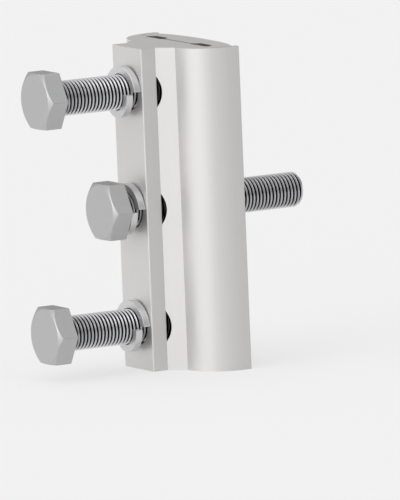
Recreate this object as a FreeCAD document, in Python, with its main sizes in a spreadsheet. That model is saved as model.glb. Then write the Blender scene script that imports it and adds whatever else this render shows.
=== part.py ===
"""Three-bolt parallel groove connector, standing on one end.

Frame, in millimetres: +Z runs along the conductors, +X along the bolts from head to
thread end, and Y across the two conductor grooves.  The origin is on the bottom end
face, in the plane of the bolts, where the bolt pad rises from the body.
"""

import FreeCAD, Part
import math
import os
import Sketcher

SIZES = {
    # Clamp as a whole
    "length": 110.0,
    "bolt_end_distance": 15.0,
    "parting_gap": 0.3,
    "edge_round": 0.5,
    # Body: an extruded channel with a raised pad for the bolt heads
    "pad_width": 19.3,
    "pad_height": 5.6,
    "body_depth": 14.6,
    "shoulder_angle": 45.0,
    "hump_radius": 14.2,
    "hump_axis_lead": 4.5,
    "lip_thickness": 2.6,
    "lip_reach": 7.8,
    "lip_round": 1.0,
    "pad_hole_diameter": 13.5,
    "relief_bore_diameter": 22.0,
    # Keeper: the plate that is drawn up between the lips
    "keeper_width": 50.4,
    "keeper_thickness": 9.4,
    "keeper_crown": 1.4,
    "keeper_bevel_start": 19.0,
    "keeper_edge_thickness": 6.0,
    "side_clearance": 0.3,
    # Conductor grooves, shallow in the body and deeper in the keeper
    "groove_offset": 14.8,
    "groove_width": 11.0,
    "body_groove_depth": 0.9,
    "keeper_groove_depth": 2.3,
    "groove_flank_angle": 55.0,
    "serration_pitch": 2.4,
    "serration_depth": 0.7,
    "crest_drop": 0.05,
    # Hexagon bolts, 12 mm thread
    "bolt_diameter": 12.0,
    "bolt_length": 70.0,
    "bolt_tip_chamfer": 1.1,
    "head_flats": 19.0,
    "head_height": 7.5,
    "head_face_diameter": 18.1,
    "head_chamfer_angle": 30.0,
    "seat_face_diameter": 17.4,
    "seat_face_height": 0.5,
    "thread_clearance": 0.05,
    "backed_out": 23.4,
    # Split spring washers
    "washer_bore": 12.4,
    "washer_width": 2.5,
    "washer_thickness": 2.5,
    "washer_free_height": 5.6,
    "washer_gap": 0.7,
}

BOLT_ROWS = ("bottom", "middle", "top")
BODY_SIDE, KEEPER_SIDE = -1, 1
CUT_MARGIN = 1.0
NOTCH_OVERSHOOT = 0.3


class Size:
    """A length held both as its value and as its formula on the sheet."""

    def __init__(self, value, text):
        self.value = value
        self.text = text

    def join(self, other, sign, value):
        other_text = other.text if isinstance(other, Size) else repr(other)
        return Size(value, f"({self.text} {sign} {other_text})")

    def __add__(self, other):
        return self.join(other, "+", self.value + number(other))

    def __sub__(self, other):
        return self.join(other, "-", self.value - number(other))

    def __mul__(self, other):
        return self.join(other, "*", self.value * number(other))

    def __truediv__(self, other):
        return self.join(other, "/", self.value / number(other))

    def __neg__(self):
        return Size(-self.value, f"(-{self.text})")


def number(size):
    return size.value if isinstance(size, Size) else size


def root(size):
    return Size(size.value ** 0.5, f"sqrt({size.text})")


def whole(size):
    return Size(float(int(size.value)), f"floor({size.text})")


def tangent(angle):
    return Size(math.tan(math.radians(angle.value)), f"tan({angle.text} * 1 deg)")


def make_sheet(doc):
    """Put every driving dimension in a cell with its own alias."""
    sheet = doc.addObject("Spreadsheet::Sheet", "Sizes")
    for row, (alias, value) in enumerate(SIZES.items(), start=1):
        sheet.set(f"A{row}", alias.replace("_", " "))
        sheet.set(f"B{row}", str(value))
        sheet.setAlias(f"B{row}", alias)
    doc.recompute()
    return sheet


def read_sizes(sheet):
    return {alias: Size(float(sheet.get(alias)), f"Sizes.{alias}") for alias in SIZES}


def bind(feature, prop, size):
    """Set a property to its value now and to its formula for good."""
    setattr(feature, prop, size.value)
    feature.setExpression(prop, size.text)


def origin_feature(body, role):
    return next(item for item in body.Origin.OriginFeatures if item.Role == role)


def new_body(doc, label):
    body = doc.addObject("PartDesign::Body", label)
    body.Label = label
    return body


def new_sketch(body, name, plane, shift_x=None, lift=None):
    """Attach a sketch to an origin plane, moved along its own x and its normal."""
    sketch = body.newObject("Sketcher::SketchObject", name)
    sketch.AttachmentSupport = (origin_feature(body, plane), [""])
    sketch.MapMode = "FlatFace"
    if shift_x is not None:
        sketch.setExpression("AttachmentOffset.Base.x", shift_x.text)
    if lift is not None:
        sketch.setExpression("AttachmentOffset.Base.z", lift.text)
    return sketch


def place_point(sketch, geometry, position, point):
    """Dimension one end of a line or arc from the sketch's axes."""
    axes = (("DistanceX", -2, point[0]), ("DistanceY", -1, point[1]))
    for kind, axis, size in axes:
        if number(size) == 0:
            sketch.addConstraint(Sketcher.Constraint("PointOnObject", geometry, position, axis))
        else:
            index = sketch.addConstraint(
                Sketcher.Constraint(kind, -1, 1, geometry, position, size.value))
            sketch.setExpression(f"Constraints[{index}]", size.text)


def arc_edge(start, end, radius, turn):
    """Arc of a given radius from start to end; turn is +1 anticlockwise, -1 clockwise."""
    ends = [FreeCAD.Vector(number(p[0]), number(p[1]), 0) for p in (start, end)]
    chord = ends[1] - ends[0]
    to_centre = FreeCAD.Vector(-chord.y, chord.x, 0).normalize()
    height = (radius.value ** 2 - chord.Length ** 2 / 4) ** 0.5
    centre = (ends[0] + ends[1]) / 2 + to_centre * height * turn
    middle = centre - to_centre * radius.value * turn
    return Part.ArcOfCircle(ends[0], middle, ends[1]), turn > 0


def draw_outline(sketch, corners, arcs=()):
    """Draw a closed outline through corners; arcs maps a corner's index to (radius, turn)."""
    arcs = dict(arcs)
    tails = []
    for index, corner in enumerate(corners):
        following = corners[(index + 1) % len(corners)]
        if index in arcs:
            radius, turn = arcs[index]
            edge, forward = arc_edge(corner, following, radius, turn)
            geometry = sketch.addGeometry(edge, False)
            start, end = (1, 2) if forward else (2, 1)
            fixed = sketch.addConstraint(Sketcher.Constraint("Radius", geometry, radius.value))
            sketch.setExpression(f"Constraints[{fixed}]", radius.text)
        else:
            ends = [FreeCAD.Vector(number(p[0]), number(p[1]), 0) for p in (corner, following)]
            geometry = sketch.addGeometry(Part.LineSegment(*ends), False)
            start, end = 1, 2
        place_point(sketch, geometry, start, corner)
        tails.append((geometry, start, end))
    for (geometry, _, end), (after, start, _) in zip(tails, tails[1:] + tails[:1]):
        sketch.addConstraint(Sketcher.Constraint("Coincident", geometry, end, after, start))


def draw_circle(sketch, centre, diameter):
    middle = FreeCAD.Vector(number(centre[0]), number(centre[1]), 0)
    radius = diameter.value / 2
    circle = sketch.addGeometry(Part.Circle(middle, FreeCAD.Vector(0, 0, 1), radius), False)
    place_point(sketch, circle, 3, centre)
    index = sketch.addConstraint(Sketcher.Constraint("Diameter", circle, diameter.value))
    sketch.setExpression(f"Constraints[{index}]", diameter.text)


def add_pad(body, sketch, length):
    pad = body.newObject("PartDesign::Pad", sketch.Name + "Pad")
    pad.Profile = sketch
    bind(pad, "Length", length)
    return pad


def cut_through(body, sketch, reverse):
    pocket = body.newObject("PartDesign::Pocket", sketch.Name + "Cut")
    pocket.Profile = sketch
    pocket.Type = "ThroughAll"
    pocket.Reversed = reverse
    return pocket


def repeat_upward(body, feature, spacing, count):
    """Repeat a cut along +Z at equal spacing."""
    pattern = body.newObject("PartDesign::LinearPattern", feature.Name + "Row")
    pattern.Originals = [feature]
    pattern.Direction = (origin_feature(body, "Z_Axis"), [""])
    pattern.Mode = "Spacing"
    bind(pattern, "Offset", spacing)
    pattern.Occurrences = int(number(count))
    if isinstance(count, Size):
        pattern.setExpression("Occurrences", count.text)
    body.Tip = pattern
    return pattern


def mirror_half(body):
    """Complete a half section by mirroring all of it across the bolts' plane."""
    body.Document.recompute()
    mirror = body.newObject("PartDesign::Mirrored", body.Name + "Mirror")
    mirror.TransformMode = "Whole shape"
    mirror.MirrorPlane = (origin_feature(body, "XZ_Plane"), [""])
    body.Tip = mirror


def half_face(s, side):
    """Where one half's parting face lies and how deep its grooves are cut."""
    if side == BODY_SIDE:
        return s["body_depth"], s["body_groove_depth"]
    return s["body_depth"] + s["parting_gap"], s["keeper_groove_depth"]


def groove_corners(s, side, deeper=0, above=0):
    """Corners of one groove's section, set deeper into the metal all round by one amount.

    They run from above the parting face down one flank, across the flat floor and up the
    other flank.
    """
    face, depth = half_face(s, side)
    flank = tangent(s["groove_flank_angle"])
    floor = depth + deeper
    half_floor = (s["groove_width"] / 2 - depth / flank
                  + tangent(s["groove_flank_angle"] / 2) * deeper)
    half_mouth = half_floor + (floor + above) / flank
    centre = s["groove_offset"]
    return [
        (face - above * side, centre - half_mouth),
        (face + floor * side, centre - half_floor),
        (face + floor * side, centre + half_floor),
        (face - above * side, centre + half_mouth),
    ]


def cut_serrations(body, s, side):
    """Cut V notches across the groove that follow its section and meet in crests."""
    count = whole(s["length"] / s["serration_pitch"])
    first = (s["length"] - s["serration_pitch"] * (count - 1)) / 2
    overshoot = s["serration_depth"] * NOTCH_OVERSHOOT
    spread = s["serration_pitch"] / 2 / (s["serration_depth"] - s["crest_drop"])
    half_mouth = spread * (s["serration_depth"] + overshoot)
    stations = (("Low", first - half_mouth, -overshoot), ("Deep", first, s["serration_depth"]),
                ("High", first + half_mouth, -overshoot))
    sections = []
    for name, height, deeper in stations:
        section = new_sketch(body, f"{body.Name}Notch{name}", "XY_Plane", lift=height)
        draw_outline(section, groove_corners(s, side, deeper, s["serration_depth"]))
        sections.append(section)
    notch = body.newObject("PartDesign::SubtractiveLoft", body.Name + "Notch")
    notch.Profile = sections[0]
    notch.Sections = sections[1:]
    notch.Ruled = True
    repeat_upward(body, notch, s["serration_pitch"], count)


def bolt_pitch(s):
    return (s["length"] - s["bolt_end_distance"] * 2) / (len(BOLT_ROWS) - 1)


def make_connector_body(doc, s):
    body = new_body(doc, "connector_body")
    pad_half = s["pad_width"] / 2
    inner = s["keeper_width"] / 2 + s["side_clearance"]
    outer = inner + s["lip_thickness"]
    tip = s["body_depth"] + s["lip_reach"]
    small = s["edge_round"]

    # The 45 degree shoulder runs from the pad's foot until it meets the hump's arc.
    hump_x = s["body_depth"] + s["hump_axis_lead"]
    hump_y = outer - s["hump_radius"]
    slope = tangent(s["shoulder_angle"])
    rise = hump_y - pad_half
    squares = slope * slope + 1
    half_sum = hump_x + slope * rise
    under = half_sum * half_sum - squares * (
        hump_x * hump_x + rise * rise - s["hump_radius"] * s["hump_radius"])
    crease_x = (half_sum - root(under)) / squares
    crease_y = pad_half + slope * crease_x

    corners = [
        (-s["pad_height"], 0),
        (s["body_depth"], 0),
        *groove_corners(s, BODY_SIDE),
        (s["body_depth"], inner),
        (tip - small, inner),
        (tip, inner + small),
        (tip, outer - s["lip_round"]),
        (tip - s["lip_round"], outer),
        (hump_x, outer),
        (crease_x, crease_y),
        (0, pad_half),
        (small - s["pad_height"], pad_half),
        (-s["pad_height"], pad_half - small),
    ]
    arcs = {
        7: (small, 1),
        9: (s["lip_round"], 1),
        11: (s["hump_radius"], 1),
        14: (small, 1),
    }
    section = new_sketch(body, "HalfSection", "XY_Plane")
    draw_outline(section, corners, arcs)
    add_pad(body, section, s["length"])
    cut_serrations(body, s, BODY_SIDE)
    mirror_half(body)

    # Bolt holes: plain through the pad, and wide from its foot to the parting plane
    height = s["bolt_end_distance"]
    hole = new_sketch(body, "PadHole", "YZ_Plane")
    draw_circle(hole, (0, height), s["pad_hole_diameter"])
    repeat_upward(body, cut_through(body, hole, False), bolt_pitch(s), len(BOLT_ROWS))
    relief = new_sketch(body, "ReliefBore", "YZ_Plane")
    draw_circle(relief, (0, height), s["relief_bore_diameter"])
    repeat_upward(body, cut_through(body, relief, True), bolt_pitch(s), len(BOLT_ROWS))
    return body


def make_keeper(doc, s):
    body = new_body(doc, "keeper")
    front, _ = half_face(s, KEEPER_SIDE)
    bevel = s["keeper_bevel_start"]
    crown = s["keeper_crown"]
    crown_radius = (bevel * bevel + crown * crown) / (crown * 2)
    edge = s["keeper_width"] / 2
    corners = [
        (front, 0),
        (front + s["keeper_thickness"], 0),
        (front + s["keeper_thickness"] - crown, bevel),
        (front + s["keeper_edge_thickness"], edge),
        (front, edge),
        *reversed(groove_corners(s, KEEPER_SIDE)),
    ]
    arcs = {1: (crown_radius, 1)}
    section = new_sketch(body, "KeeperSection", "XY_Plane")
    draw_outline(section, corners, arcs)
    add_pad(body, section, s["length"])
    cut_serrations(body, s, KEEPER_SIDE)
    mirror_half(body)
    hole = new_sketch(body, "TappedHole", "YZ_Plane")
    diameter = s["bolt_diameter"] + s["thread_clearance"] * 2
    draw_circle(hole, (0, s["bolt_end_distance"]), diameter)
    repeat_upward(body, cut_through(body, hole, True), bolt_pitch(s), len(BOLT_ROWS))
    return body


def make_bolt(doc, s, row, backed_out):
    """Hexagon bolt whose own origin is the centre of the head's seat."""
    body = new_body(doc, f"bolt_{row}")
    half_flats = s["head_flats"] / 2
    corner = s["head_flats"] / root(Size(3.0, "3"))

    hexagon = new_sketch(body, f"Hexagon_{row}", "YZ_Plane", lift=-s["seat_face_height"])
    draw_outline(hexagon, [
        (corner, 0), (corner / 2, half_flats), (-corner / 2, half_flats),
        (-corner, 0), (-corner / 2, -half_flats), (corner / 2, -half_flats)])
    head = add_pad(body, hexagon, s["head_height"] - s["seat_face_height"])
    head.Reversed = True

    face_radius = s["head_face_diameter"] / 2
    beyond = corner + CUT_MARGIN
    run = (beyond - face_radius) * tangent(s["head_chamfer_angle"])
    chamfer = new_sketch(body, f"HeadChamfer_{row}", "XZ_Plane")
    draw_outline(chamfer, [
        (-s["head_height"], face_radius),
        (-s["head_height"], beyond),
        (run - s["head_height"], beyond)])
    groove = body.newObject("PartDesign::Groove", f"HeadChamferCut_{row}")
    groove.Profile = chamfer
    groove.ReferenceAxis = (chamfer, ["H_Axis"])

    radius = s["bolt_diameter"] / 2
    seat = s["seat_face_diameter"] / 2
    shank = new_sketch(body, f"Shank_{row}", "XZ_Plane")
    draw_outline(shank, [
        (-s["seat_face_height"], 0),
        (s["bolt_length"], 0),
        (s["bolt_length"], radius - s["bolt_tip_chamfer"]),
        (s["bolt_length"] - s["bolt_tip_chamfer"], radius),
        (0, radius),
        (0, seat),
        (-s["seat_face_height"], seat)])
    turned = body.newObject("PartDesign::Revolution", f"ShankTurn_{row}")
    turned.Profile = shank
    turned.ReferenceAxis = (shank, ["H_Axis"])

    seat_x = -s["pad_height"] - s["washer_free_height"] - backed_out
    place_on_bolt_line(body, s, row, seat_x)
    return body


def make_spring_washer(doc, s, row):
    """Split ring sprung open; its own origin is the centre of the face on the pad.

    Each half ring slopes evenly from the split, at -Y, to the middle of the rise, at +Y:
    the upper half from the pad, and the lower half from the lifted end.
    """
    body = new_body(doc, f"spring_washer_{row}")
    inner = s["washer_bore"] / 2
    outer = inner + s["washer_width"]
    mean = inner + s["washer_width"] / 2
    margin = Size(CUT_MARGIN, repr(CUT_MARGIN))
    far = outer + margin
    half_gap = s["washer_gap"] / 2

    blank = new_sketch(body, f"WasherBlank_{row}", "YZ_Plane")
    draw_circle(blank, (0, 0), outer * 2)
    draw_circle(blank, (0, 0), inner * 2)
    ring = add_pad(body, blank, s["washer_free_height"])
    ring.Reversed = True
    split = new_sketch(body, f"WasherSplit_{row}", "YZ_Plane")
    draw_outline(split, [(-far, -half_gap), (0, -half_gap), (0, half_gap), (-far, half_gap)])
    cut_through(body, split, False)

    rise = s["washer_free_height"] - s["washer_thickness"]
    slope = rise / 2 / (mean * 2)
    head_side = -s["washer_free_height"] - margin
    halves = (("Upper", 1, Size(0.0, "0"), True), ("Lower", -1, rise, False))
    for name, sign, lift, towards_top in halves:
        near = slope * (far - mean) * sign - lift
        away = -(slope * (far + mean) * sign) - lift
        thick = s["washer_thickness"]
        faces = new_sketch(body, f"WasherFaces{name}_{row}", "XY_Plane")
        draw_outline(faces, [(margin, -far), (margin, far), (away, far), (near, -far)])
        draw_outline(faces, [
            (head_side, -far), (near - thick, -far), (away - thick, far), (head_side, far)])
        cut_through(body, faces, towards_top)
    place_on_bolt_line(body, s, row, -s["pad_height"])
    return body


def place_on_bolt_line(body, s, row, along):
    height = s["bolt_end_distance"] + bolt_pitch(s) * BOLT_ROWS.index(row)
    body.setExpression("Placement.Base.x", along.text)
    body.setExpression("Placement.Base.z", height.text)


def check_document(doc, bodies):
    doc.recompute()
    for item in doc.Objects:
        if "Invalid" in item.State or "Error" in item.State:
            raise RuntimeError(f"{item.Label} failed: {item.State}")
    for body in bodies:
        if body.Shape.isNull() or not body.Shape.isValid() or len(body.Shape.Solids) != 1:
            raise RuntimeError(f"{body.Label} is not one valid solid")


def main():
    doc = FreeCAD.newDocument("ParallelConnector")
    s = read_sizes(make_sheet(doc))
    bodies = [make_connector_body(doc, s), make_keeper(doc, s)]
    for row in BOLT_ROWS:
        backed_out = s["backed_out"] * (0 if row == "middle" else 1)
        bodies.append(make_bolt(doc, s, row, backed_out))
        bodies.append(make_spring_washer(doc, s, row))
    check_document(doc, bodies)
    os.makedirs("parts", exist_ok=True)
    for body in bodies:
        body.Shape.exportStep(f"parts/{body.Label}.step")
        print(f"{body.Label}: volume {body.Shape.Volume:.1f} mm3")


main()
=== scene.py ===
"""Looks of a three-bolt parallel groove connector, in metres, in the frame of its model.

+Z runs along the conductors, +X along the bolts from head to thread end, +Y across the
two conductor grooves.
"""

import math

import bmesh
import bpy
from mathutils import Matrix, Vector


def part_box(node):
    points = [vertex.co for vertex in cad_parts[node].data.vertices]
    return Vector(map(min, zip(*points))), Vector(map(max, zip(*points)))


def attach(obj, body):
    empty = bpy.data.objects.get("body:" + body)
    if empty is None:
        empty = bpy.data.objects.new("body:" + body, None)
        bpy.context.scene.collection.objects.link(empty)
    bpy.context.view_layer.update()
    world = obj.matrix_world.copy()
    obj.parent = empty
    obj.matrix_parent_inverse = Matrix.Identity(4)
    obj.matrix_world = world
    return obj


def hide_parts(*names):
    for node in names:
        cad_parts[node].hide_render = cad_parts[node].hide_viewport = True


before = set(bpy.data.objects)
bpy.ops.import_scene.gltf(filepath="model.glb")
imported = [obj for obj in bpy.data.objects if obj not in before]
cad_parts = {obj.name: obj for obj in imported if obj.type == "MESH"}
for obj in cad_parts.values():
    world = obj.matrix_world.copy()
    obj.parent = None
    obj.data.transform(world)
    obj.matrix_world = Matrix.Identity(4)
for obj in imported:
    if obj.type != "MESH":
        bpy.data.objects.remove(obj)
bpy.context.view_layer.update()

MM = 0.001
ROWS = ("bottom", "middle", "top")

# Hexagon bolt: lengths in millimetres, and steps to a turn
THREAD_RADIUS = 6.0
THREAD_PITCH = 1.355
THREAD_DEPTH = 0.80
THREAD_STEPS = 60
BOLT_LENGTH = 70.0
TIP_CHAMFER = 1.1
HEAD_FLATS = 19.0
HEAD_HEIGHT = 7.5
HEAD_FACE_RADIUS = 9.05
HEAD_CHAMFER = math.radians(30)
HEAD_EDGE = 0.18
HEAD_STEPS = 96
SEAT_RADIUS = 8.7
SEAT_HEIGHT = 0.5

# Share of the pitch and share of the depth at each point of one turn's profile
THREAD_PROFILE = ((0.0, 1.0), (0.12, 1.0), (0.5, 0.0), (0.62, 0.0))

# Shares of the depth, from the crest inwards, where the full painted shade of the thread root ends
# and the unshaded crest starts
ROOT_SHADE_END = 0.65
UNSHADED_CREST_START = 0.30

# Split spring washer: lengths in millimetres, and steps in its turn
WASHER_BORE_RADIUS = 6.2
WASHER_WIDTH = 2.5
WASHER_THICKNESS = 2.5
WASHER_GAP = 0.7
WASHER_EDGE = 0.15
WASHER_STEPS = 96

# Greatest angle in degrees between faces that are shaded as one surface
HEAD_SMOOTH = 25
THREAD_SMOOTH = 35
WASHER_SMOOTH = 30

# Softened edges: their least angle in degrees, and the steps across the rounding
SOFT_EDGE_ANGLE = 20
SOFT_EDGE_STEPS = 2

# Distances in metres below which points are joined and an edge is dropped
JOINED_BELOW = 1e-7
DROPPED_BELOW = 1e-8

# Conductor grooves, in millimetres: the middle of one, and how far its walls, which carry painted
# shade, reach from it
GROOVE_MIDDLE = Vector((15.45, 14.8, 55.0))
GROOVE_REACH = (2.6, 6.4, 54.99)

# Seam between the halves, in millimetres: its middle, and how far the painted shade along it reaches
SEAM_MIDDLE = Vector((14.75, 0.0, 55.0))
SEAM_REACH = (0.55, 14.8, 55.5)

# Least size of the normal's z on a sawn end
END_FACING = 0.9

# Grain of each finish per metre along x, y and z
DIE_LINES = (2600, 2600, 18)
SAW_MARKS = (2400, 90, 2400)
STEEL_MOTTLE = (900, 900, 900)

# Dark and light colour of each finish
ALUMINIUM = ((0.705, 0.692, 0.683, 1), (0.755, 0.742, 0.733, 1))
PLATED_STEEL = ((0.50, 0.50, 0.505, 1), (0.56, 0.56, 0.565, 1))
WASHER_STEEL = ((0.69, 0.69, 0.695, 1), (0.75, 0.75, 0.755, 1))
# Painted shade of the thread roots, then the colour of the crests and the tip
THREAD_ROOT_SHADE_AND_CREST = ((0.015, 0.015, 0.018, 1), (0.74, 0.74, 0.76, 1))
# Painted shade in the conductor grooves and along the seam
GROOVE_AND_SEAM_SHADE = (0.26, 0.256, 0.25, 1)
FLOOR_COLOUR = (0.80, 0.80, 0.80, 1)
WHITE = (1, 1, 1, 1)

# Roughness of each finish, as least and greatest where it varies, and how metallic it is
ALUMINIUM_ROUGHNESS = (0.38, 0.50)
ALUMINIUM_METALLIC = 0.8
STEEL_ROUGHNESS = (0.34, 0.46)
THREAD_ROUGHNESS = 0.3
STEEL_METALLIC = 0.85
FLOOR_ROUGHNESS = 0.9

# Strength and height in metres of each finish's relief
ALUMINIUM_RELIEF = (0.12, 0.00005)
STEEL_RELIEF = (0.08, 0.00004)

# Floor: how far it reaches in metres, the tone it is seen in, and how much of its shadow shows
FLOOR_REACH = 12.0
FLOOR_TONE = 0.965
SHADOW_SHARE = 0.36

# Studio walls: the direction of the brightest, and the least and greatest strength
BRIGHT_WALL = Vector((-0.90, -0.05, 0.48))
WALL_LEVELS = (0.06, 0.87)

# Name, direction it shines from, strength, and spread in degrees of each lamp
LAMPS = (
    ("key", (-0.96, -0.22, 0.20), 1.08, 60),
    ("top", (0.35, 0.30, 1.0), 0.66, 60),
    ("high_side", (0.50, -0.54, 0.68), 0.16, 40),
)

# Camera: its axes in the model's frame, distance and range in metres, and sensor in millimetres
CAMERA_RIGHT = Vector((0.860, -0.508, -0.040))
CAMERA_UP = Vector((0.101, 0.099, 0.990))
CAMERA_DISTANCE = 4.5
CAMERA_RANGE = (0.1, 500.0)
SENSOR_WIDTH = 36.0

# Picture: its size in pixels, its scale, and the pixel that shows the middle of the pad's top edge
FRAME_PIXELS = Vector((400, 500))
PIXELS_PER_MM = 2.96
PAD_TOP_PIXEL = Vector((126.15, 46.95))


def make_camera():
    """Aimed so that the middle of the pad's top edge falls on its pixel, at the picture's scale."""
    low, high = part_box("connector_body")
    pad_top = Vector((low.x, 0.0, high.z))
    pixel = MM / PIXELS_PER_MM
    data = bpy.data.cameras.new("view_camera")
    data.sensor_fit = "AUTO"
    data.sensor_width = SENSOR_WIDTH
    data.lens = SENSOR_WIDTH * CAMERA_DISTANCE / (FRAME_PIXELS.y * pixel)
    data.clip_start, data.clip_end = CAMERA_RANGE
    right = CAMERA_RIGHT.normalized()
    back = right.cross(CAMERA_UP).normalized()
    up = back.cross(right)
    to_middle = (FRAME_PIXELS / 2 - PAD_TOP_PIXEL) * pixel
    middle = pad_top + right * to_middle.x - up * to_middle.y
    camera = bpy.data.objects.new("view_camera", data)
    place = Matrix((right, up, back)).transposed().to_4x4()
    place.translation = middle + back * CAMERA_DISTANCE
    camera.matrix_world = place
    bpy.context.scene.collection.objects.link(camera)
    bpy.context.scene.camera = camera


def nodes_of(name):
    material = bpy.data.materials.new(name)
    material.use_nodes = True
    tree = material.node_tree
    return material, tree, tree.nodes["Principled BSDF"]


def feed(tree, entry, value):
    """Link a node's output to an input, or set a plain value there."""
    if isinstance(value, bpy.types.NodeSocket):
        tree.links.new(value, entry)
    else:
        entry.default_value = value


def feed_in_order(tree, node, values):
    """Feed a node's first inputs in their order, and give its outputs."""
    for entry, value in zip(node.inputs, values):
        feed(tree, entry, value)
    return node.outputs


def add(tree, kind, inputs=None, **settings):
    """A new node with its settings, and its inputs fed by name."""
    node = tree.nodes.new(kind)
    for key, value in settings.items():
        setattr(node, key, value)
    for name, value in (inputs or {}).items():
        feed(tree, node.inputs[name], value)
    return node


def maths(tree, operation, *values):
    node = add(tree, "ShaderNodeMath", operation=operation)
    return feed_in_order(tree, node, values)["Value"]


def vector_maths(tree, operation, *values):
    """A number for a length or a dot product, and a vector otherwise."""
    node = add(tree, "ShaderNodeVectorMath", operation=operation)
    result = "Value" if operation in ("LENGTH", "DOT_PRODUCT") else "Vector"
    return feed_in_order(tree, node, values)[result]


def coordinates(tree, kind="Object"):
    return add(tree, "ShaderNodeTexCoord").outputs[kind]


def axes_of(tree, vector):
    """The x, y and z parts of a vector."""
    return add(tree, "ShaderNodeSeparateXYZ", {"Vector": vector}).outputs


def ramp(tree, value, low, high, start=0.0, stop=1.0, curve="LINEAR"):
    """From low to high while the value goes from start to stop."""
    inputs = {"Value": value, "From Min": start, "From Max": stop, "To Min": low, "To Max": high}
    return add(tree, "ShaderNodeMapRange", inputs, interpolation_type=curve).outputs["Result"]


def blend(tree, share, first, second, data_type="RGBA"):
    """The first where the share is 0, and the second where it is 1."""
    inputs = {"Factor": share, "A": first, "B": second}
    return add(tree, "ShaderNodeMix", inputs, data_type=data_type).outputs["Result"]


def stretched_noise(tree, scale, detail=3.0):
    """Noise whose grain is drawn out along the axis with the small scale."""
    place = add(tree, "ShaderNodeMapping", {"Vector": coordinates(tree), "Scale": scale})
    inputs = {"Vector": place.outputs["Vector"], "Scale": 1.0, "Detail": detail}
    return add(tree, "ShaderNodeTexNoise", inputs).outputs["Fac"]


def dress(tree, shader, colour, roughness, metallic):
    feed(tree, shader.inputs["Base Color"], colour)
    feed(tree, shader.inputs["Roughness"], roughness)
    feed(tree, shader.inputs["Metallic"], metallic)


def bump(tree, shader, height, relief):
    strength, distance = relief
    node = add(tree, "ShaderNodeBump", {"Strength": strength, "Distance": distance, "Height": height})
    feed(tree, shader.inputs["Normal"], node.outputs["Normal"])


def inside_box(tree, middle, reach):
    """1 within reach of the middle along every axis, and in the box's mirror images."""
    mirrored = vector_maths(tree, "ABSOLUTE", coordinates(tree))
    offset = vector_maths(tree, "SUBTRACT", mirrored, middle * MM)
    distance = vector_maths(tree, "ABSOLUTE", offset)
    along_x, along_y, along_z = (
        maths(tree, "LESS_THAN", part, limit * MM)
        for part, limit in zip(axes_of(tree, distance), reach))
    return maths(tree, "MULTIPLY", maths(tree, "MULTIPLY", along_x, along_y), along_z)


def extruded_aluminium():
    """Die lines along the length, saw marks on the ends, and painted shade in the grooves and along
    the seam.
    """
    material, tree, shader = nodes_of("extruded_aluminium")
    upright = maths(tree, "ABSOLUTE", axes_of(tree, coordinates(tree, "Normal"))["Z"])
    end = maths(tree, "GREATER_THAN", upright, END_FACING)
    lines = stretched_noise(tree, DIE_LINES)
    saw = stretched_noise(tree, SAW_MARKS)
    grain = blend(tree, end, lines, saw, "FLOAT")
    # Painted shade along the seam on the sawn ends, and inside the conductor grooves
    seam_shade = maths(tree, "MULTIPLY", inside_box(tree, SEAM_MIDDLE, SEAM_REACH), end)
    painted_shade = maths(tree, "MAXIMUM", inside_box(tree, GROOVE_MIDDLE, GROOVE_REACH), seam_shade)
    colour = blend(tree, painted_shade, blend(tree, grain, *ALUMINIUM), GROOVE_AND_SEAM_SHADE)
    dress(tree, shader, colour, ramp(tree, grain, *ALUMINIUM_ROUGHNESS), ALUMINIUM_METALLIC)
    bump(tree, shader, grain, ALUMINIUM_RELIEF)
    return material


def zinc_steel(name, colours):
    """Plated steel with a faint mottle."""
    material, tree, shader = nodes_of(name)
    mottle = stretched_noise(tree, STEEL_MOTTLE, detail=4.0)
    colour = blend(tree, mottle, *colours)
    dress(tree, shader, colour, ramp(tree, mottle, *STEEL_ROUGHNESS), STEEL_METALLIC)
    bump(tree, shader, mottle, STEEL_RELIEF)
    return material


def root_shaded_steel(name, axis_height, tip):
    """Plated steel with painted shade in the thread roots, short of the tip; the axis lies at y 0."""
    material, tree, shader = nodes_of(name)
    place = coordinates(tree)
    end = maths(tree, "GREATER_THAN", axes_of(tree, place)["X"], tip - TIP_CHAMFER * MM)
    inputs = {"Vector": place, "Location": (0, 0, -axis_height), "Scale": (0, 1, 1)}
    across = add(tree, "ShaderNodeMapping", inputs).outputs["Vector"]
    radius = vector_maths(tree, "LENGTH", across)
    root_shade_end, unshaded_crest_start = (
        (THREAD_RADIUS - THREAD_DEPTH * share) * MM for share in (ROOT_SHADE_END, UNSHADED_CREST_START))
    # Painted shade: dark at the thread roots, fading out towards the crests
    unshaded_crest = ramp(tree, radius, 0.0, 1.0, root_shade_end, unshaded_crest_start, "SMOOTHSTEP")
    colour = blend(tree, maths(tree, "MAXIMUM", unshaded_crest, end), *THREAD_ROOT_SHADE_AND_CREST)
    dress(tree, shader, colour, THREAD_ROUGHNESS, STEEL_METALLIC)
    return material


def on_circle(along, radius, angle):
    """A point beside the x axis, from millimetres, at an angle from +y towards +z."""
    return along * MM, radius * math.cos(angle) * MM, radius * math.sin(angle) * MM


def hex_radius(angle):
    """Distance from the axis to the hexagon's side, with a corner at angle 0."""
    half_side = math.pi / 6
    from_corner = (angle + half_side) % (2 * half_side) - half_side
    return HEAD_FLATS / 2 / math.cos(half_side - abs(from_corner))


def ring(bm, radius_at, along_at, steps):
    angles = [2 * math.pi * step / steps for step in range(steps)]
    return [bm.verts.new(on_circle(along_at(angle), radius_at(angle), angle)) for angle in angles]


def bridge(bm, rings):
    for near, far in zip(rings, rings[1:]):
        for place in range(len(near)):
            after = (place + 1) % len(near)
            bm.faces.new((near[place], near[after], far[after], far[place]))


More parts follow.
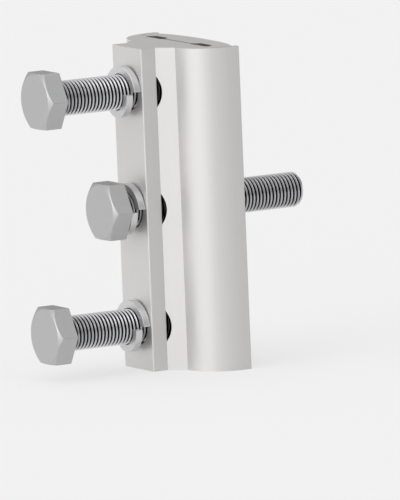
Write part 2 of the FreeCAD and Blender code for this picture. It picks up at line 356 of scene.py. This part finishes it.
def head_mesh():
    """Hexagon head with a chamfer and a round seat face; the seat is at x 0."""
    bm = bmesh.new()

    def chamfered(angle):
        return -HEAD_HEIGHT + max(0.0, hex_radius(angle) - HEAD_FACE_RADIUS) * math.tan(HEAD_CHAMFER)

    rings = [
        ring(bm, lambda angle: HEAD_FACE_RADIUS, lambda angle: -HEAD_HEIGHT, HEAD_STEPS),
        ring(bm, hex_radius, chamfered, HEAD_STEPS),
        ring(bm, hex_radius, lambda angle: -SEAT_HEIGHT, HEAD_STEPS),
        ring(bm, lambda angle: SEAT_RADIUS, lambda angle: -SEAT_HEIGHT, HEAD_STEPS),
        ring(bm, lambda angle: SEAT_RADIUS, lambda angle: 0.0, HEAD_STEPS),
    ]
    bridge(bm, rings)
    bm.faces.new(list(reversed(rings[0])))
    bm.faces.new(rings[-1])
    bmesh.ops.recalc_face_normals(bm, faces=bm.faces)
    return bm


def thread_mesh():
    """Helical V thread from the seat to the chamfered tip, along +x."""
    bm = bmesh.new()
    turns = math.ceil(BOLT_LENGTH / THREAD_PITCH) + 1
    rows = []
    for step in range(turns * THREAD_STEPS + 1):
        angle = 2 * math.pi * step / THREAD_STEPS
        row = []
        for share, depth in THREAD_PROFILE:
            along = THREAD_PITCH * (step / THREAD_STEPS + share - 1)
            along = min(max(along, 0.0), BOLT_LENGTH)
            radius = THREAD_RADIUS - THREAD_DEPTH * depth
            radius = min(radius, THREAD_RADIUS - TIP_CHAMFER + BOLT_LENGTH - along)
            row.append(bm.verts.new(on_circle(along, radius, angle)))
        rows.append(row)
    for step in range(len(rows) - 1):
        low, high = rows[step], rows[step + 1]
        for i in range(len(THREAD_PROFILE) - 1):
            bm.faces.new((low[i], low[i + 1], high[i + 1], high[i]))
        above = step + THREAD_STEPS
        if above + 1 < len(rows):
            bm.faces.new((low[-1], rows[above][0], rows[above + 1][0], high[-1]))
    bmesh.ops.remove_doubles(bm, verts=bm.verts, dist=JOINED_BELOW)
    bmesh.ops.dissolve_degenerate(bm, edges=bm.edges, dist=DROPPED_BELOW)
    rim = [edge for edge in bm.edges if edge.is_boundary]
    bmesh.ops.holes_fill(bm, edges=rim)
    bmesh.ops.recalc_face_normals(bm, faces=bm.faces)
    return bm


def washer_mesh(free_height):
    """One helical turn of square section, from the pad's face at x 0 towards the head.

    It starts at -y, goes over +z and ends lifted beside its start.
    """
    bm = bmesh.new()
    inner, outer = WASHER_BORE_RADIUS, WASHER_BORE_RADIUS + WASHER_WIDTH
    half_gap = WASHER_GAP / (inner + outer)
    rows = []
    for step in range(WASHER_STEPS + 1):
        share = step / WASHER_STEPS
        angle = math.pi - half_gap - (2 * math.pi - 2 * half_gap) * share
        near = (WASHER_THICKNESS - free_height) * share
        far = near - WASHER_THICKNESS
        section = ((near, inner), (near, outer), (far, outer), (far, inner))
        rows.append([bm.verts.new(on_circle(along, radius, angle)) for along, radius in section])
    bridge(bm, rows)
    bm.faces.new(rows[0])
    bm.faces.new(rows[-1])
    bmesh.ops.recalc_face_normals(bm, faces=bm.faces)
    return bm


def make_piece(name, bm, material, place, smooth_below):
    mesh = bpy.data.meshes.new(name)
    bm.to_mesh(mesh)
    bm.free()
    mesh.transform(Matrix.Translation(place))
    mesh.materials.append(material)
    piece = bpy.data.objects.new(name, mesh)
    bpy.context.scene.collection.objects.link(piece)
    for face in mesh.polygons:
        face.use_smooth = True
    mesh.set_sharp_from_angle(angle=math.radians(smooth_below))
    return piece


def soften_edges(piece, width):
    bevel = piece.modifiers.new("edge", "BEVEL")
    bevel.width = width * MM
    bevel.segments = SOFT_EDGE_STEPS
    bevel.limit_method = "ANGLE"
    bevel.angle_limit = math.radians(SOFT_EDGE_ANGLE)
    bevel.harden_normals = True


def stand_for(piece, node, body):
    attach(piece, body)
    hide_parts(node)


def dress_extrusions():
    """The body and the keeper share one finish."""
    aluminium = extruded_aluminium()
    for node in ("connector_body", "keeper"):
        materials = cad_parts[node].data.materials
        materials.clear()
        materials.append(aluminium)


def make_bolt(row, steel):
    node = f"bolt_{row}"
    low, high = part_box(node)
    centre = (low + high) / 2
    seat = Vector((high.x - BOLT_LENGTH * MM, centre.y, centre.z))
    head = make_piece(f"head_{row}", head_mesh(), steel, seat, HEAD_SMOOTH)
    soften_edges(head, HEAD_EDGE)
    thread = root_shaded_steel(f"root_shaded_steel_{row}", centre.z, high.x)
    shank = make_piece(f"thread_{row}", thread_mesh(), thread, seat, THREAD_SMOOTH)
    for piece in (head, shank):
        stand_for(piece, node, f"screw_{row}")


def make_washer(row, steel):
    node = f"spring_washer_{row}"
    low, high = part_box(node)
    centre = (low + high) / 2
    free_height = (high.x - low.x) / MM
    pad_face = Vector((high.x, centre.y, centre.z))
    washer = make_piece(f"coil_{row}", washer_mesh(free_height), steel, pad_face, WASHER_SMOOTH)
    soften_edges(washer, WASHER_EDGE)
    stand_for(washer, node, "body")


def pale_floor():
    """Near white to the camera and in reflections, with a faint shadow."""
    material, tree, shader = nodes_of("pale_floor")
    dress(tree, shader, FLOOR_COLOUR, FLOOR_ROUGHNESS, metallic=0.0)
    feed(tree, shader.inputs["Specular IOR Level"], 0.0)
    glow = add(tree, "ShaderNodeEmission", {"Color": WHITE, "Strength": FLOOR_TONE})
    rays = add(tree, "ShaderNodeLightPath").outputs
    seen = rays["Is Camera Ray"]
    for ray in ("Is Glossy Ray", "Is Transmission Ray"):
        seen = maths(tree, "MAXIMUM", seen, rays[ray])
    share = ramp(tree, seen, 0.0, 1.0 - SHADOW_SHARE)
    mix = add(tree, "ShaderNodeMixShader")
    surface = feed_in_order(tree, mix, (share, shader.outputs["BSDF"], glow.outputs["Emission"]))
    feed(tree, tree.nodes["Material Output"].inputs["Surface"], surface["Shader"])
    return material


def make_stage():
    corners = [(x * FLOOR_REACH, y * FLOOR_REACH, 0) for x, y in ((-1, -1), (1, -1), (1, 1), (-1, 1))]
    mesh = bpy.data.meshes.new("floor")
    mesh.from_pydata(corners, [], [(0, 1, 2, 3)])
    mesh.materials.append(pale_floor())
    floor = bpy.data.objects.new("floor", mesh)
    bpy.context.scene.collection.objects.link(floor)


def make_world():
    """White studio walls, brightest high on the front left and dimmest opposite."""
    world = bpy.data.worlds.new("studio")
    world.use_nodes = True
    tree = world.node_tree
    across = vector_maths(
        tree, "DOT_PRODUCT", coordinates(tree, "Generated"), BRIGHT_WALL.normalized())
    level = ramp(tree, across, *WALL_LEVELS, start=-1.0, curve="SMOOTHSTEP")
    feed(tree, tree.nodes["Background"].inputs["Color"], WHITE)
    feed(tree, tree.nodes["Background"].inputs["Strength"], level)
    bpy.context.scene.world = world


def make_lamp(name, source, strength, spread):
    """A soft light from the direction of its source, seen from the object."""
    data = bpy.data.lights.new(name, "SUN")
    data.energy = strength
    data.angle = math.radians(spread)
    light = bpy.data.objects.new(name, data)
    light.rotation_mode = "QUATERNION"
    light.rotation_quaternion = Vector(source).to_track_quat("Z", "Y")
    bpy.context.scene.collection.objects.link(light)


make_camera()
dress_extrusions()
bolt_steel = zinc_steel("plated_steel", PLATED_STEEL)
washer_steel = zinc_steel("washer_steel", WASHER_STEEL)
for row in ROWS:
    make_washer(row, washer_steel)
    make_bolt(row, bolt_steel)
make_stage()
make_world()
for lamp in LAMPS:
    make_lamp(*lamp)
bpy.context.scene.view_settings.view_transform = "Standard"
